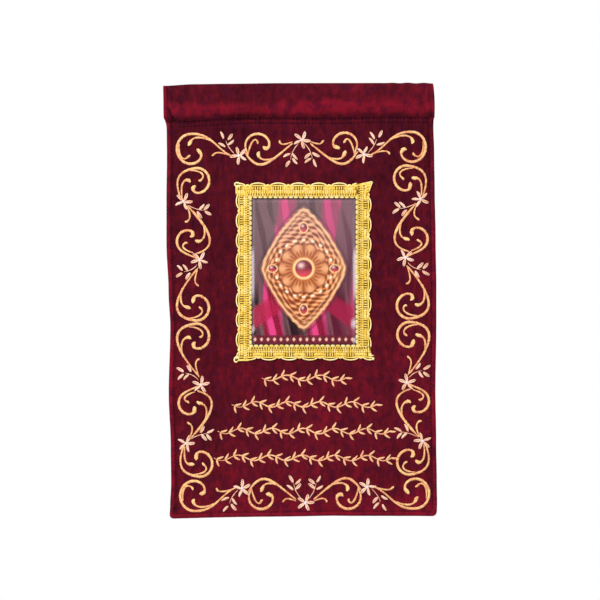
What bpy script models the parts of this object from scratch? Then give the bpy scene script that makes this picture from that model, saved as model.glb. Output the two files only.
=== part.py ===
"""Small hanging velvet banner: a hemmed panel under a rod sleeve, with a braided frame
around a picture card under clear film. Metres, +Z up. The face looks along -Y, and the
origin is the middle of the sleeve's top edge. Drops are measured down from that edge."""

import math
from collections import namedtuple

import bmesh
import bpy

MM = 0.001
GAP = 0.3 * MM  # left between pieces that lie on each other

# Velvet panel: the front of the cloth is the modelled surface, its thickness goes back
CLOTH_THICK = 1.5 * MM
HEM_THICK = 2.7 * MM  # cloth turned in once and stitched
HEM_WIDE = 7 * MM
HEM_STEP = 0.9 * MM  # how far the turned-in edge takes to come down to one layer
HEM_START = 45 * MM  # the side hems show below the sleeve's flap
CORNER_ROUND = 3.2 * MM
PANEL_COLUMNS = 22
PANEL_ROWS = 34

# The panel's two long edges, as uneven as they hang
Edge = namedtuple("Edge", "drop left right")
PANEL_EDGES = (
    Edge(33.5 * MM, -121.0 * MM, 125.0 * MM),
    Edge(68 * MM, -121.3 * MM, 125.8 * MM),
    Edge(101 * MM, -122.2 * MM, 126.2 * MM),
    Edge(145 * MM, -121.1 * MM, 126.8 * MM),
    Edge(190 * MM, -119.8 * MM, 127.5 * MM),
    Edge(223 * MM, -118.6 * MM, 127.8 * MM),
    Edge(284 * MM, -120.2 * MM, 126.9 * MM),
    Edge(334 * MM, -118.4 * MM, 127.7 * MM),
    Edge(379 * MM, -117.5 * MM, 127.9 * MM),
    Edge(401 * MM, -118.0 * MM, 126.8 * MM),
)
BOTTOM_DROP = 400.0 * MM  # at the middle of the bottom edge
BOTTOM_SAG_LEFT = 2.0 * MM  # how much lower each bottom corner hangs
BOTTOM_SAG_RIGHT = 1.0 * MM

# Soft waves of the hanging cloth: spacing across and down, height, start of the wave
Wave = namedtuple("Wave", "across down height start")
WAVES = (
    Wave(190 * MM, 900 * MM, 1.5 * MM, 0.6),
    Wave(130 * MM, 420 * MM, 0.8 * MM, 2.1),
    Wave(420 * MM, 170 * MM, 0.9 * MM, 4.0),
)
WAVE_START = 46 * MM  # straight behind the sleeve's flap
WAVE_FULL = 150 * MM

# Rod sleeve: the cloth folded to the back and sewn across
SLEEVE_HIGH = 33.2 * MM
SLEEVE_DEEP = 12.6 * MM
SLEEVE_CENTRE_Y = 1.3 * MM
SLEEVE_WALL = 1.6 * MM
SEAM_HIGH = 3.6 * MM  # where front and back are sewn together
SEAM_THICK = 3.4 * MM
FLAP_DROP = 41.7 * MM  # lower end of the turned-in cloth behind the panel
FLAP_FRONT_Y = 1.85 * MM
SLEEVE_SIDES = 9  # points down each half of the section
SLEEVE_STATIONS = 15
# How the sleeve changes on its way across: its top's sag, its bulge, a small sway
Station = namedtuple("Station", "x sag bulge sway")
SLEEVE_SHAPE = (
    Station(-124.8 * MM, 2.9 * MM, 0.90, 0.2 * MM),
    Station(-96 * MM, 1.5 * MM, 0.95, -0.3 * MM),
    Station(-68 * MM, 0.2 * MM, 1.04, 0.1 * MM),
    Station(-15 * MM, 0.0 * MM, 0.97, 0.3 * MM),
    Station(48 * MM, 0.1 * MM, 1.05, -0.2 * MM),
    Station(96 * MM, 0.3 * MM, 0.98, 0.2 * MM),
    Station(126.0 * MM, 1.2 * MM, 0.91, 0.0 * MM),
)
SLEEVE_END_LEAN = 1.4 * MM  # the cut ends lean in a little at the top

# Picture card and the clear film on it
WINDOW_LEFT = -43.2 * MM
WINDOW_RIGHT = 52.8 * MM
WINDOW_TOP = 107.4 * MM
WINDOW_BOTTOM = 242.6 * MM
CARD_UNDER_BRAID = 3.0 * MM
CARD_THICK = 0.8 * MM
FILM_THICK = 0.5 * MM
CARD_DOME = 0.5 * MM
FILM_DOME = 1.1 * MM
LAYER_CELLS = (6, 8)

# Gimp braid around the window
BRAID_WIDE = 15.0 * MM
BRAID_THICK = 1.2 * MM
SCALLOP_PITCH = 19.0 * MM
SCALLOP_DEEP = 2.2 * MM
TEETH_PER_SCALLOP = 4
TOOTH_DEEP = 1.4 * MM
BRAID_COLUMNS = (0.0, 0.15, 0.26, 0.44, 0.72, 1.0)  # shares of the width, from the window out
STEP_START = 0.5 * MM  # the braid stays up this far past the card's edge
STEP_END = 3.1 * MM
LOOSE_END = 3.6 * MM  # the bottom braid's cut end runs out past the corner

VELVET_RED = (0.10, 0.006, 0.014, 1)
BRAID_GOLD = (0.62, 0.42, 0.10, 1)
CARD_ROSE = (0.36, 0.06, 0.10, 1)
FILM_CLEAR = (0.80, 0.78, 0.82, 1)


def smooth(share):
    share = min(max(share, 0.0), 1.0)
    return share * share * (3 - 2 * share)


def read_table(rows, key, place, column):
    """The value of one column at a place, on a soft line from row to row."""
    if place <= getattr(rows[0], key):
        return getattr(rows[0], column)
    for low, high in zip(rows, rows[1:]):
        start, end = getattr(low, key), getattr(high, key)
        if place <= end:
            share = smooth((place - start) / (end - start))
            return getattr(low, column) * (1 - share) + getattr(high, column) * share
    return getattr(rows[-1], column)


def beyond_window(x, drop, margin):
    """How far a point lies outside the window grown by a margin, and 0 inside it."""
    across = max(WINDOW_LEFT - margin - x, x - WINDOW_RIGHT - margin, 0.0)
    down = max(WINDOW_TOP - margin - drop, drop - WINDOW_BOTTOM - margin, 0.0)
    return math.hypot(across, down)


def drape(x, drop):
    """The y of the panel's front: waves below the sleeve, flat behind the framed card."""
    height = sum(
        wave.height * math.sin(math.tau * (x / wave.across + drop / wave.down) + wave.start)
        for wave in WAVES
    )
    grown = smooth((drop - WAVE_START) / (WAVE_FULL - WAVE_START))
    freedom = 0.08 + 0.92 * smooth(beyond_window(x, drop, BRAID_WIDE) / (45 * MM))
    return height * grown * freedom


def bottom_edge(x):
    sag = BOTTOM_SAG_LEFT if x < 0 else BOTTOM_SAG_RIGHT
    return BOTTOM_DROP + sag * (x / (125 * MM)) ** 2


def make_material(name, colour, roughness, alpha=1.0):
    material = bpy.data.materials.new(name)
    material.use_nodes = True
    shader = material.node_tree.nodes["Principled BSDF"]
    shader.inputs["Base Color"].default_value = colour
    shader.inputs["Roughness"].default_value = roughness
    shader.inputs["Alpha"].default_value = alpha
    return material


def add_object(name, bm, material, collection):
    mesh = bpy.data.meshes.new(name)
    bm.to_mesh(mesh)
    bm.free()
    mesh.materials.append(material)
    item = bpy.data.objects.new(name, mesh)
    collection.objects.link(item)
    return item


def thicken(item, thickness, offset):
    solidify = item.modifiers.new("thickness", "SOLIDIFY")
    solidify.thickness = thickness
    solidify.offset = offset
    return solidify


def grid(columns, rows, place):
    """A grid of cells whose corners place(column, row) puts, facing -Y."""
    bm = bmesh.new()
    bmesh.ops.create_grid(bm, x_segments=columns, y_segments=rows, size=0.5)
    for vert in bm.verts:
        column = round((vert.co.x + 0.5) * columns)
        row = round((vert.co.y + 0.5) * rows)
        vert.co = place(column, row)
    return bm


def hemmed_shares(length, cells):
    """Shares of a length from a hemmed edge inwards: the hem, its step, then even cells."""
    start = (HEM_WIDE + HEM_STEP) / length
    return [0.0, HEM_WIDE / length, *(start + (1 - start) * k / cells for k in range(cells + 1))]


def in_hem(x, drop):
    left = read_table(PANEL_EDGES, "drop", drop, "left")
    right = read_table(PANEL_EDGES, "drop", drop, "right")
    reach = HEM_WIDE + HEM_STEP / 2
    return (min(x - left, right - x) < reach and drop > HEM_START) or bottom_edge(x) - drop < reach


def make_panel(material, collection):
    top = PANEL_EDGES[0].drop
    half_wide = (PANEL_EDGES[0].right - PANEL_EDGES[0].left) / 2
    half = hemmed_shares(half_wide, PANEL_COLUMNS // 2)
    across = [share / 2 for share in half] + [1 - share / 2 for share in reversed(half[:-1])]
    rise = hemmed_shares(BOTTOM_DROP - top, PANEL_ROWS)

    def place(column, row):
        level = top + (1 - rise[row]) * (BOTTOM_DROP - top)
        left = read_table(PANEL_EDGES, "drop", level, "left")
        right = read_table(PANEL_EDGES, "drop", level, "right")
        x = left + across[column] * (right - left)
        drop = top + (1 - rise[row]) * (bottom_edge(x) - top)
        return (x, drape(x, drop), -drop)

    bm = grid(len(across) - 1, len(rise) - 1, place)
    bm.verts.ensure_lookup_table()
    corners = [bm.verts[0], bm.verts[len(across) - 1]]
    bmesh.ops.bevel(bm, geom=corners, offset=CORNER_ROUND, offset_type="OFFSET", segments=3,
                    profile=0.5, affect="VERTICES", material=-1)
    panel = add_object("panel", bm, material, collection)
    hem = panel.vertex_groups.new(name="hem")
    for vert in panel.data.vertices:
        weight = 1.0 if in_hem(vert.co.x, -vert.co.z) else 0.0
        hem.add([vert.index], weight, "REPLACE")
    solidify = thicken(panel, HEM_THICK, -1)
    solidify.vertex_group = hem.name
    solidify.thickness_vertex_group = CLOTH_THICK / HEM_THICK


def sleeve_rings():
    """Outer and inner points of the sleeve's section, down the front then up the back."""
    rings = []
    for inset, low in ((0.0, 0.0), (SLEEVE_WALL, SEAM_HIGH)):
        high = SLEEVE_HIGH - inset - low
        half_deep = SLEEVE_DEEP / 2 - inset
        seam = SEAM_THICK / 2 if inset == 0 else 0.3 * MM
        half = []
        for k in range(1, SLEEVE_SIDES + 1):
            turn = math.pi * k / SLEEVE_SIDES
            bulge = half_deep * math.sin(turn) ** 0.8 if k < SLEEVE_SIDES else 0.0
            bulge += seam * (k / SLEEVE_SIDES) ** 4
            half.append((bulge, -inset - high * (1 - math.cos(turn)) / 2))
        front = [(SLEEVE_CENTRE_Y - deep, z) for deep, z in half]
        back = [(SLEEVE_CENTRE_Y + deep, z) for deep, z in reversed(half)]
        rings.append([(SLEEVE_CENTRE_Y, -inset), *front, *back])
    return rings


def sleeve_place(x, y, z):
    """Where a point of the plain section lies at a station across the sleeve."""
    sag = read_table(SLEEVE_SHAPE, "x", x, "sag")
    bulge = read_table(SLEEVE_SHAPE, "x", x, "bulge")
    sway = read_table(SLEEVE_SHAPE, "x", x, "sway")
    height = min(max(1 + z / SLEEVE_HIGH, 0.0), 1.0)  # 0 at the seam, 1 at the top edge
    free = math.sin(math.pi * height)
    deep = (y - SLEEVE_CENTRE_Y) * (1 + (bulge - 1) * free) + sway * free
    lean = SLEEVE_END_LEAN * (x / SLEEVE_SHAPE[-1].x) ** 5 * height**3
    return (x - lean, SLEEVE_CENTRE_Y + deep, z - sag * height)


def make_sleeve(material, collection):
    outer, inner = sleeve_rings()
    count = len(outer)
    bottom = SLEEVE_SIDES  # the seam's front corner; the next point is its back corner
    bm = bmesh.new()
    start = SLEEVE_SHAPE[0].x
    rim_out = [bm.verts.new((start, y, z)) for y, z in outer]
    rim_in = [bm.verts.new((start, y, z)) for y, z in inner]
    for k in range(count):
        if k == bottom:
            continue
        after = (k + 1) % count
        bm.faces.new((rim_out[k], rim_in[k], rim_in[after], rim_out[after]))
    # The sewn seam, and the flap of turned-in cloth that goes on down behind the panel
    flap_top = bm.verts.new((start, FLAP_FRONT_Y, -SLEEVE_HIGH))
    flap_low = bm.verts.new((start, FLAP_FRONT_Y, -FLAP_DROP))
    flap_back = bm.verts.new((start, SLEEVE_CENTRE_Y + SEAM_THICK / 2, -FLAP_DROP))
    bm.faces.new((rim_out[bottom], rim_in[bottom], rim_in[bottom + 1], rim_out[bottom + 1], flap_top))
    bm.faces.new((flap_top, rim_out[bottom + 1], flap_back, flap_low))
    bmesh.ops.recalc_face_normals(bm, faces=bm.faces)

    section = list(bm.faces)
    step = (SLEEVE_SHAPE[-1].x - start) / (SLEEVE_STATIONS - 1)
    for station in range(SLEEVE_STATIONS - 1):
        made = bmesh.ops.extrude_face_region(bm, geom=section)["geom"]
        if station:
            bmesh.ops.delete(bm, geom=section, context="FACES_ONLY")
        section = [item for item in made if isinstance(item, bmesh.types.BMFace)]
        moved = [item for item in made if isinstance(item, bmesh.types.BMVert)]
        bmesh.ops.translate(bm, verts=moved, vec=(step, 0, 0))
    for vert in bm.verts:
        vert.co = sleeve_place(*vert.co)
    bmesh.ops.recalc_face_normals(bm, faces=bm.faces)
    add_object("sleeve", bm, material, collection)


def make_layer(name, lift, thickness, dome, material, collection):
    """A stiff sheet under the braid's inner edge, a little domed towards the face."""
    left, right = WINDOW_LEFT - CARD_UNDER_BRAID, WINDOW_RIGHT + CARD_UNDER_BRAID
    top, bottom = WINDOW_TOP - CARD_UNDER_BRAID, WINDOW_BOTTOM + CARD_UNDER_BRAID
    columns, rows = LAYER_CELLS

    def place(column, row):
        x = left + (right - left) * column / columns
        drop = bottom - (bottom - top) * row / rows
        rise = math.sin(math.pi * column / columns) * math.sin(math.pi * row / rows)
        return (x, drape(x, drop) - lift - dome * min(1.0, 1.6 * rise), -drop)

    item = add_object(name, grid(columns, rows, place), material, collection)
    thicken(item, thickness, 1)
    return item


def braid_lift(x, drop):
    """Height of the braid's back over the panel: up on the card, then down beside it."""
    over_card = GAP + CARD_THICK + GAP + FILM_THICK + GAP
    past = beyond_window(x, drop, CARD_UNDER_BRAID)
    share = smooth((past - STEP_START) / (STEP_END - STEP_START))
    return over_card * (1 - share) + GAP * share


def braid_edge(along, length):
    """How far the scallops and the window's teeth reach at a place along a strip."""
    scallops = max(1, round(length / SCALLOP_PITCH))
    turn = scallops * along / length
    scallop = SCALLOP_DEEP * abs(math.sin(math.pi * turn)) ** 0.7
    tooth = TOOTH_DEEP * (round(2 * TEETH_PER_SCALLOP * turn) % 2)
    return scallop, tooth


def make_braid(name, upright, start, end, inner, outwards, material, collection, loose=0.0):
    """One strip from start to end along x, or down if upright. inner is the window's edge
    and outwards is the side, 1 or -1, to which the strip lies from it."""
    length = end - start
    cells_along = 2 * TEETH_PER_SCALLOP * max(1, round(length / SCALLOP_PITCH))
    window = (WINDOW_TOP, WINDOW_BOTTOM) if upright else (WINDOW_LEFT, WINDOW_RIGHT)

    def strip_point(cell, share):
        along = start + length * cell / cells_along
        scallop, tooth = braid_edge(along - start, length)
        if not window[0] < along < window[1]:
            tooth = 0.0
        low = tooth
        high = BRAID_WIDE - SCALLOP_DEEP + scallop
        across = inner + outwards * (low + share * (high - low))
        if loose:
            along += loose * smooth((along - end + 3 * loose) / (3 * loose))
        return (across, along) if upright else (along, across)

    last = len(BRAID_COLUMNS) - 1

    def place(column, row):
        # Cells run along x and up, so a share counts from whichever side faces the window
        if upright:
            cell, step = cells_along - row, column
            share = BRAID_COLUMNS[step] if outwards > 0 else BRAID_COLUMNS[last - step]
        else:
            cell, step = column, row
            share = BRAID_COLUMNS[step] if outwards < 0 else BRAID_COLUMNS[last - step]
        x, drop = strip_point(cell, share)
        return (x, drape(x, drop) - braid_lift(x, drop), -drop)

    cells = (last, cells_along) if upright else (cells_along, last)
    strip = add_object(name, grid(*cells, place), material, collection)
    thicken(strip, BRAID_THICK, 1)
    return strip


def make_braids(material, collection):
    left, right = WINDOW_LEFT - BRAID_WIDE, WINDOW_RIGHT + BRAID_WIDE
    top, bottom = WINDOW_TOP + GAP, WINDOW_BOTTOM - GAP
    make_braid("braid_top", False, left, right, WINDOW_TOP, -1, material, collection)
    make_braid("braid_bottom", False, left, right, WINDOW_BOTTOM, 1, material, collection, LOOSE_END)
    make_braid("braid_left", True, top, bottom, WINDOW_LEFT, -1, material, collection)
    make_braid("braid_right", True, top, bottom, WINDOW_RIGHT, 1, material, collection)


def main():
    for item in list(bpy.data.objects):
        bpy.data.objects.remove(item)
    collection = bpy.data.collections.new("embroidered_banner")
    bpy.context.scene.collection.children.link(collection)

    velvet = make_material("velvet", VELVET_RED, 0.95)
    make_panel(velvet, collection)
    make_sleeve(make_material("sleeve_velvet", VELVET_RED, 0.95), collection)

    card = make_material("printed_card", CARD_ROSE, 0.6)
    make_layer("picture_card", GAP, CARD_THICK, CARD_DOME, card, collection)
    film = make_material("clear_film", FILM_CLEAR, 0.1, 0.35)
    film_lift = GAP + CARD_THICK + GAP
    make_layer("clear_film", film_lift, FILM_THICK, FILM_DOME, film, collection)
    make_braids(make_material("gold_braid", BRAID_GOLD, 0.6), collection)


main()
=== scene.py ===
import math

import bmesh
import bpy
import numpy as np
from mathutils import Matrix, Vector


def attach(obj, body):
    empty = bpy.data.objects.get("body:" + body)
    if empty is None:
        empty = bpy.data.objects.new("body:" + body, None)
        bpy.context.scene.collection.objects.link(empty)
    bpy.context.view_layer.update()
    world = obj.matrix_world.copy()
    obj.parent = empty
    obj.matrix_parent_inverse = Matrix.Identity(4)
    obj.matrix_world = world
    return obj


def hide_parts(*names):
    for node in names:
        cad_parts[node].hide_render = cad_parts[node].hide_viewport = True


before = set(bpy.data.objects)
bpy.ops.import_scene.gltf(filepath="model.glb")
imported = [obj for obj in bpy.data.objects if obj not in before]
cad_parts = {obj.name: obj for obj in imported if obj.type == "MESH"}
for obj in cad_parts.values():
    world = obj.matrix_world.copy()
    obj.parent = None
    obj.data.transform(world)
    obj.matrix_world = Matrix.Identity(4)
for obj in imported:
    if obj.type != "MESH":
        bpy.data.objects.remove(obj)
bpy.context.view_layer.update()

mm = 0.001
print("frame loaded:", ", ".join(sorted(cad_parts)))


# Shared measures. x runs right, drop runs down from the sleeve's top edge, the face looks along -Y.
banner = {
    "windowLeft": -43.2 * mm,
    "windowRight": 52.8 * mm,
    "windowTop": 107.4 * mm,
    "windowBottom": 242.6 * mm,
    "braidWide": 15.0 * mm,
    "seamDrop": 33.2 * mm,
    "seamLower": 3.2 * mm,
    "seamHigher": 1.0 * mm,
    "bottomDrop": 400.0 * mm,
    "sagLeft": 2.0 * mm,
    "sagRight": 1.0 * mm,
    "footLower": 2.2 * mm,
    "waveStart": 46 * mm,
    "waveFull": 150 * mm,
    "heldWaves": 0.08,  # share of the long waves left behind the frame
    "wavesFree": 45 * mm,
    "dentsFree": 12 * mm,
}
# Long waves of the hanging cloth: across, down, height, start
longWaves = (
    (190 * mm, 900 * mm, 1.5 * mm, 0.6),
    (130 * mm, 420 * mm, 0.8 * mm, 2.1),
    (420 * mm, 170 * mm, 0.9 * mm, 4.0),
)
# Short soft dents between the stitches: across, down, height, start
shortWaves = (
    (47 * mm, 160 * mm, 0.16 * mm, 1.0),
    (-38 * mm, 71 * mm, 0.13 * mm, 2.4),
    (24 * mm, -55 * mm, 0.09 * mm, 0.3),
    (95 * mm, 33 * mm, 0.12 * mm, 5.1),
)
# The panel's long edges: drop, left, right
panelEdges = mm * np.array((
    (33.2, -123.3, 125.6),
    (36.0, -122.5, 125.2),
    (41.0, -122.1, 125.0),
    (68, -121.9, 125.8),
    (101, -122.3, 126.2),
    (145, -122.3, 126.9),
    (190, -120.3, 127.7),
    (223, -118.6, 127.8),
    (284, -120.2, 126.9),
    (334, -118.4, 127.7),
    (368, -118.0, 128.4),
    (388, -118.9, 128.7),
    (401, -119.6, 128.3),
))


def smooth(share):
    share = np.clip(share, 0, 1)
    return share * share * (3 - 2 * share)


def rise(value, start, width):
    # Softly 0 to 1 from start on. A negative width runs the other way.
    return smooth((value - start) / width)


def bell(away, width):
    return np.exp(-((away / width) ** 2))


def softTable(rows, place):
    # Reads a table's columns at places of its first, with a soft line from row to row.
    keys, *columns = np.array(rows).T
    low = np.clip(np.searchsorted(keys, place) - 1, 0, len(keys) - 2)
    share = rise(place, keys[low], keys[low + 1] - keys[low])
    return [values[low] * (1 - share) + values[low + 1] * share for values in columns]


def beyondWindow(x, drop, margin):
    across = np.maximum(banner["windowLeft"] - margin - x, x - banner["windowRight"] - margin)
    down = np.maximum(banner["windowTop"] - margin - drop, drop - banner["windowBottom"] - margin)
    return np.hypot(np.maximum(across, 0), np.maximum(down, 0))


def waveHeight(waves, x, drop):
    return sum(h * np.sin(math.tau * (x / a + drop / d) + s) for a, d, h, s in waves)


def faceY(x, drop):
    # The front of the velvet: long waves, flat behind the framed card, and short dents.
    grown = rise(drop, banner["waveStart"], banner["waveFull"] - banner["waveStart"])
    past = beyondWindow(x, drop, banner["braidWide"])
    held = banner["heldWaves"]
    freedom = held + (1 - held) * rise(past, 0, banner["wavesFree"])
    dents = waveHeight(shortWaves, x, drop) * rise(past, 0, banner["dentsFree"])
    return waveHeight(longWaves, x, drop) * grown * freedom + dents


def seamDrop(x):
    # The seam under the sleeve runs lower at the left end and a little higher at the right.
    lower = banner["seamLower"] * rise(x, -48 * mm, -68 * mm)
    return banner["seamDrop"] + lower - banner["seamHigher"] * rise(x, 10 * mm, 100 * mm)


def bottomEdge(x):
    sag = np.where(x < 0, banner["sagLeft"], banner["sagRight"])
    lower = banner["footLower"] * (1 - 0.5 * rise(x, -20 * mm, 60 * mm))
    return banner["bottomDrop"] + lower + sag * (x / (125 * mm)) ** 2


# Node helpers
def setSockets(tree, node, inputs):
    # Each input gets a link from another node's socket, or a plain value.
    for name, value in inputs.items():
        socket = node.inputs[name]
        if isinstance(value, bpy.types.NodeSocket):
            tree.links.new(value, socket)
        elif socket.type == "RGBA":
            socket.default_value = (*value, 1)
        else:
            socket.default_value = value


def addNode(tree, kind, inputs, **settings):
    node = tree.nodes.new(kind)
    for name, value in settings.items():
        setattr(node, name, value)
    setSockets(tree, node, inputs)
    return node


def newMaterial(name):
    material = bpy.data.materials.new(name)
    material.use_nodes = True
    tree = material.node_tree
    return material, tree, tree.nodes["Principled BSDF"]


def objectPlace(tree, stretch=(1, 1, 1)):
    coordinates = addNode(tree, "ShaderNodeTexCoord", {})
    inputs = {"Vector": coordinates.outputs["Object"], "Scale": stretch}
    return addNode(tree, "ShaderNodeMapping", inputs).outputs["Vector"]


def noiseNode(tree, place, scale, detail, roughness=0.5):
    inputs = {"Vector": place, "Scale": scale, "Detail": detail, "Roughness": roughness}
    return addNode(tree, "ShaderNodeTexNoise", inputs).outputs["Fac"]


def rampNode(tree, source, stops):
    ramp = addNode(tree, "ShaderNodeValToRGB", {"Fac": source})
    elements = ramp.color_ramp.elements
    while len(elements) < len(stops):
        elements.new(0.5)
    for element, (place, colour) in zip(elements, stops):
        element.position = place
        element.color = (*colour, 1)
    return ramp.outputs["Color"]


def mixColours(tree, kind, factor, first, second):
    inputs = {0: factor, 6: first, 7: second}
    return addNode(tree, "ShaderNodeMix", inputs, data_type="RGBA", blend_type=kind).outputs[2]


def mathNode(tree, operation, *values):
    return addNode(tree, "ShaderNodeMath", dict(enumerate(values)), operation=operation).outputs[0]


def bumpNode(tree, height, distance, strength, **below):
    inputs = {"Strength": strength, "Distance": distance, "Height": height, **below}
    return addNode(tree, "ShaderNodeBump", inputs).outputs["Normal"]


def attributeNode(tree, name):
    return addNode(tree, "ShaderNodeAttribute", {}, attribute_name=name)


# Velvet
velvetLook = {
    "dark": (0.024, 0.0018, 0.0048),
    "middle": (0.068, 0.0036, 0.0086),
    "bright": (0.178, 0.0052, 0.0160),
    "purple": (0.044, 0.0030, 0.0150),
    "purpleMost": 0.55,
    "pile": 1400,
    "finish": {
        "Roughness": 0.95,
        "Specular IOR Level": 0.04,
        "Sheen Weight": 0.10,
        "Sheen Roughness": 0.30,
        "Sheen Tint": (1.0, 0.16, 0.24),
    },
}


def velvetMaterial(look):
    material, tree, shader = newMaterial("velvetPile")
    place = objectPlace(tree)
    tall = objectPlace(tree, (1, 1, 0.5))
    cloud = noiseNode(tree, tall, 30, 3)
    blotch = noiseNode(tree, tall, 190, 3, 0.65)
    grain = noiseNode(tree, place, look["pile"], 2, 0.7)
    tint = noiseNode(tree, place, 140, 2)
    amount = attributeNode(tree, "tone").outputs["Fac"]
    for noise, share in ((cloud, 0.55), (blotch, 1.05), (grain, 0.60)):
        amount = mathNode(tree, "MULTIPLY_ADD", noise, share, amount)
    amount = mathNode(tree, "SUBTRACT", amount, 1.08)
    stops = ((0.02, look["dark"]), (0.36, look["middle"]), (0.90, look["bright"]))
    purpleStops = ((0.50, (0, 0, 0)), (0.64, (look["purpleMost"],) * 3))
    purpled = rampNode(tree, tint, purpleStops)
    colour = mixColours(tree, "MIX", purpled, rampNode(tree, amount, stops), look["purple"])
    brushed = bumpNode(tree, blotch, 0.6 * mm, 0.5)
    normal = bumpNode(tree, grain, 0.25 * mm, 0.8, Normal=brushed)
    setSockets(tree, shader, {**look["finish"], "Base Color": colour, "Normal": normal})
    return material


# Threads: colours from dark to light, roughness, sheen, gloss, width of a thread
threads = {
    "goldThread": (((0.72, 0.25, 0.10), (0.93, 0.46, 0.20), (0.98, 0.68, 0.26)),
                   0.45, 0.15, 0.35, 0.42 * mm),
    "vineThread": (((0.78, 0.31, 0.15), (0.97, 0.50, 0.26), (1.0, 0.70, 0.32)),
                   0.45, 0.15, 0.35, 0.42 * mm),
    "paleThread": (((0.80, 0.40, 0.22), (0.97, 0.60, 0.42), (1.0, 0.84, 0.68)),
                   0.5, 0.15, 0.35, 0.42 * mm),
    "lilacThread": (((0.60, 0.46, 0.54), (0.90, 0.78, 0.84), (1.0, 0.94, 0.97)),
                    0.5, 0.15, 0.35, 0.42 * mm),
    "hemThread": (((0.014, 0.001, 0.004), (0.028, 0.002, 0.007), (0.05, 0.005, 0.012)),
                  0.9, 0.0, 0.02, 0.42 * mm),
    "seamThread": (((0.018, 0.002, 0.006), (0.040, 0.005, 0.012), (0.085, 0.012, 0.024)),
                   0.9, 0.0, 0.02, 0.42 * mm),
    "braidThread": (((0.13, 0.060, 0.004), (0.66, 0.39, 0.028), (0.94, 0.65, 0.100), (1.0, 0.90, 0.50)),
                    0.52, 0.0, 0.2, 0.5 * mm),
}
# Where the colours lie between dark and light, for three of them and for four
threadStops = {3: (0.1, 0.42, 0.85), 4: (0.0, 0.24, 0.52, 0.9)}


def threadMaterial(name, colours, roughness, sheen, gloss, pitch):
    # Satin thread: fine ridges across the stitch direction and a soft change of tone.
    material, tree, shader = newMaterial(name)
    place = objectPlace(tree)
    along = attributeNode(tree, "along").outputs["Fac"]
    ridges = mathNode(tree, "SINE", mathNode(tree, "MULTIPLY", along, math.tau / pitch))
    wander = noiseNode(tree, place, 190, 3)
    strand = noiseNode(tree, place, 900, 2)
    amount = attributeNode(tree, "tone").outputs["Fac"]
    for source, share in ((wander, 0.75), (strand, 0.40), (ridges, 0.07)):
        amount = mathNode(tree, "MULTIPLY_ADD", source, share, amount)
    amount = mathNode(tree, "SUBTRACT", amount, 0.45)
    height = mathNode(tree, "MULTIPLY_ADD", strand, 0.6, ridges)
    setSockets(tree, shader, {
        "Base Color": rampNode(tree, amount, tuple(zip(threadStops[len(colours)], colours))),
        "Roughness": roughness,
        "Specular IOR Level": gloss,
        "Sheen Weight": sheen,
        "Sheen Roughness": 0.4,
        "Normal": bumpNode(tree, height, 0.12 * mm, 0.7),
    })
    return material


velvet = velvetMaterial(velvetLook)
thread = {name: threadMaterial(name, *values) for name, values in threads.items()}
print("materials made")


# Mesh helpers
def gridMesh(name, columns, rows):
    # A flat grid from the grid operator, with the column and the row of each vertex.
    bm = bmesh.new()
    bmesh.ops.create_grid(bm, x_segments=columns, y_segments=rows, size=0.5)
    mesh = meshFrom(bm, name)
    flat = np.empty(len(mesh.vertices) * 3)
    mesh.vertices.foreach_get("co", flat)
    flat = flat.reshape(-1, 3)
    column = np.rint((flat[:, 0] + 0.5) * columns).astype(int)
    row = np.rint((flat[:, 1] + 0.5) * rows).astype(int)
    return mesh, column, row


def meshFrom(bm, name):
    mesh = bpy.data.meshes.new(name)
    bm.to_mesh(mesh)
    bm.free()
    return mesh


def setPlaces(mesh, x, y, drop):
    mesh.vertices.foreach_set("co", np.column_stack((x, y, -drop)).ravel())
    mesh.update()


def setAttribute(mesh, name, values):
    layer = mesh.attributes.new(name, "FLOAT", "POINT")
    layer.data.foreach_set("value", values)


def addToScene(name, data):
    item = bpy.data.objects.new(name, data)
    bpy.context.scene.collection.objects.link(item)
    return item


def addPiece(name, mesh, material, replaced=()):
    item = addToScene(name, mesh)
    mesh.materials.append(material)
    mesh.shade_smooth()
    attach(item, "root")
    if replaced:
        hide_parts(*replaced)
    return item


def thicken(item, thickness, offset, **settings):
    # Turns a sheet into a closed one and keeps the finished mesh.
    solidify = item.modifiers.new("thickness", "SOLIDIFY")
    solidify.thickness = thickness
    solidify.offset = offset
    for name, value in settings.items():
        setattr(solidify, name, value)
    graph = bpy.context.evaluated_depsgraph_get()
    finished = bpy.data.meshes.new_from_object(item.evaluated_get(graph))
    item.modifiers.clear()
    item.data = finished


# The velvet cloth: panel, seam, sleeve and flap are one sheet folded over at the top
cloth = {
    "cell": 2.1 * mm,
    "single": 1.3 * mm,  # thickness, and below it where the hems are turned in
    "hem": 2.5 * mm,
    "hemWide": 7.4 * mm,
    "hemTop": 45 * mm,
    "hemPuff": 0.55 * mm,
    "stitchIn": 4.2 * mm,  # stitch line from the edge
    "stitchDeep": 0.42 * mm,
    "edgeRound": 0.9 * mm,
    "cornerRound": 4.6 * mm,
    "sleeveRows": 26,
    "sleeveDeep": 6.3 * mm,  # half the sleeve's depth
    "sleeveCentre": 1.3 * mm,
    "seamHalf": 1.7 * mm,
    "seamLines": (0.9 * mm, 4.1 * mm),
    "seamDeep": 0.45 * mm,
    "flapDrop": 41.7 * mm,
    "flapNarrows": 0.030,
    "flapHangs": 0.7,
}
# Light and dark of the pile, much of it painted sheen and painted shade: how much each part of the cloth
# adds or takes away
pile = {
    "panel": 0.27,
    "underFrame": 0.15,
    "foot": 0.17,
    "right": 0.07,
    "hem": 0.34,
    "hemShade": 0.18,
    "cornerShade": 0.45,
    "seam": 0.07,
    "sleeve": 0.28,
    "sleeveSheen": 0.41,
    "sleeveEndSheen": 0.34,
    "foldShade": 0.95,
    "back": 0.30,
    "flap": 0.35,
}
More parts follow.
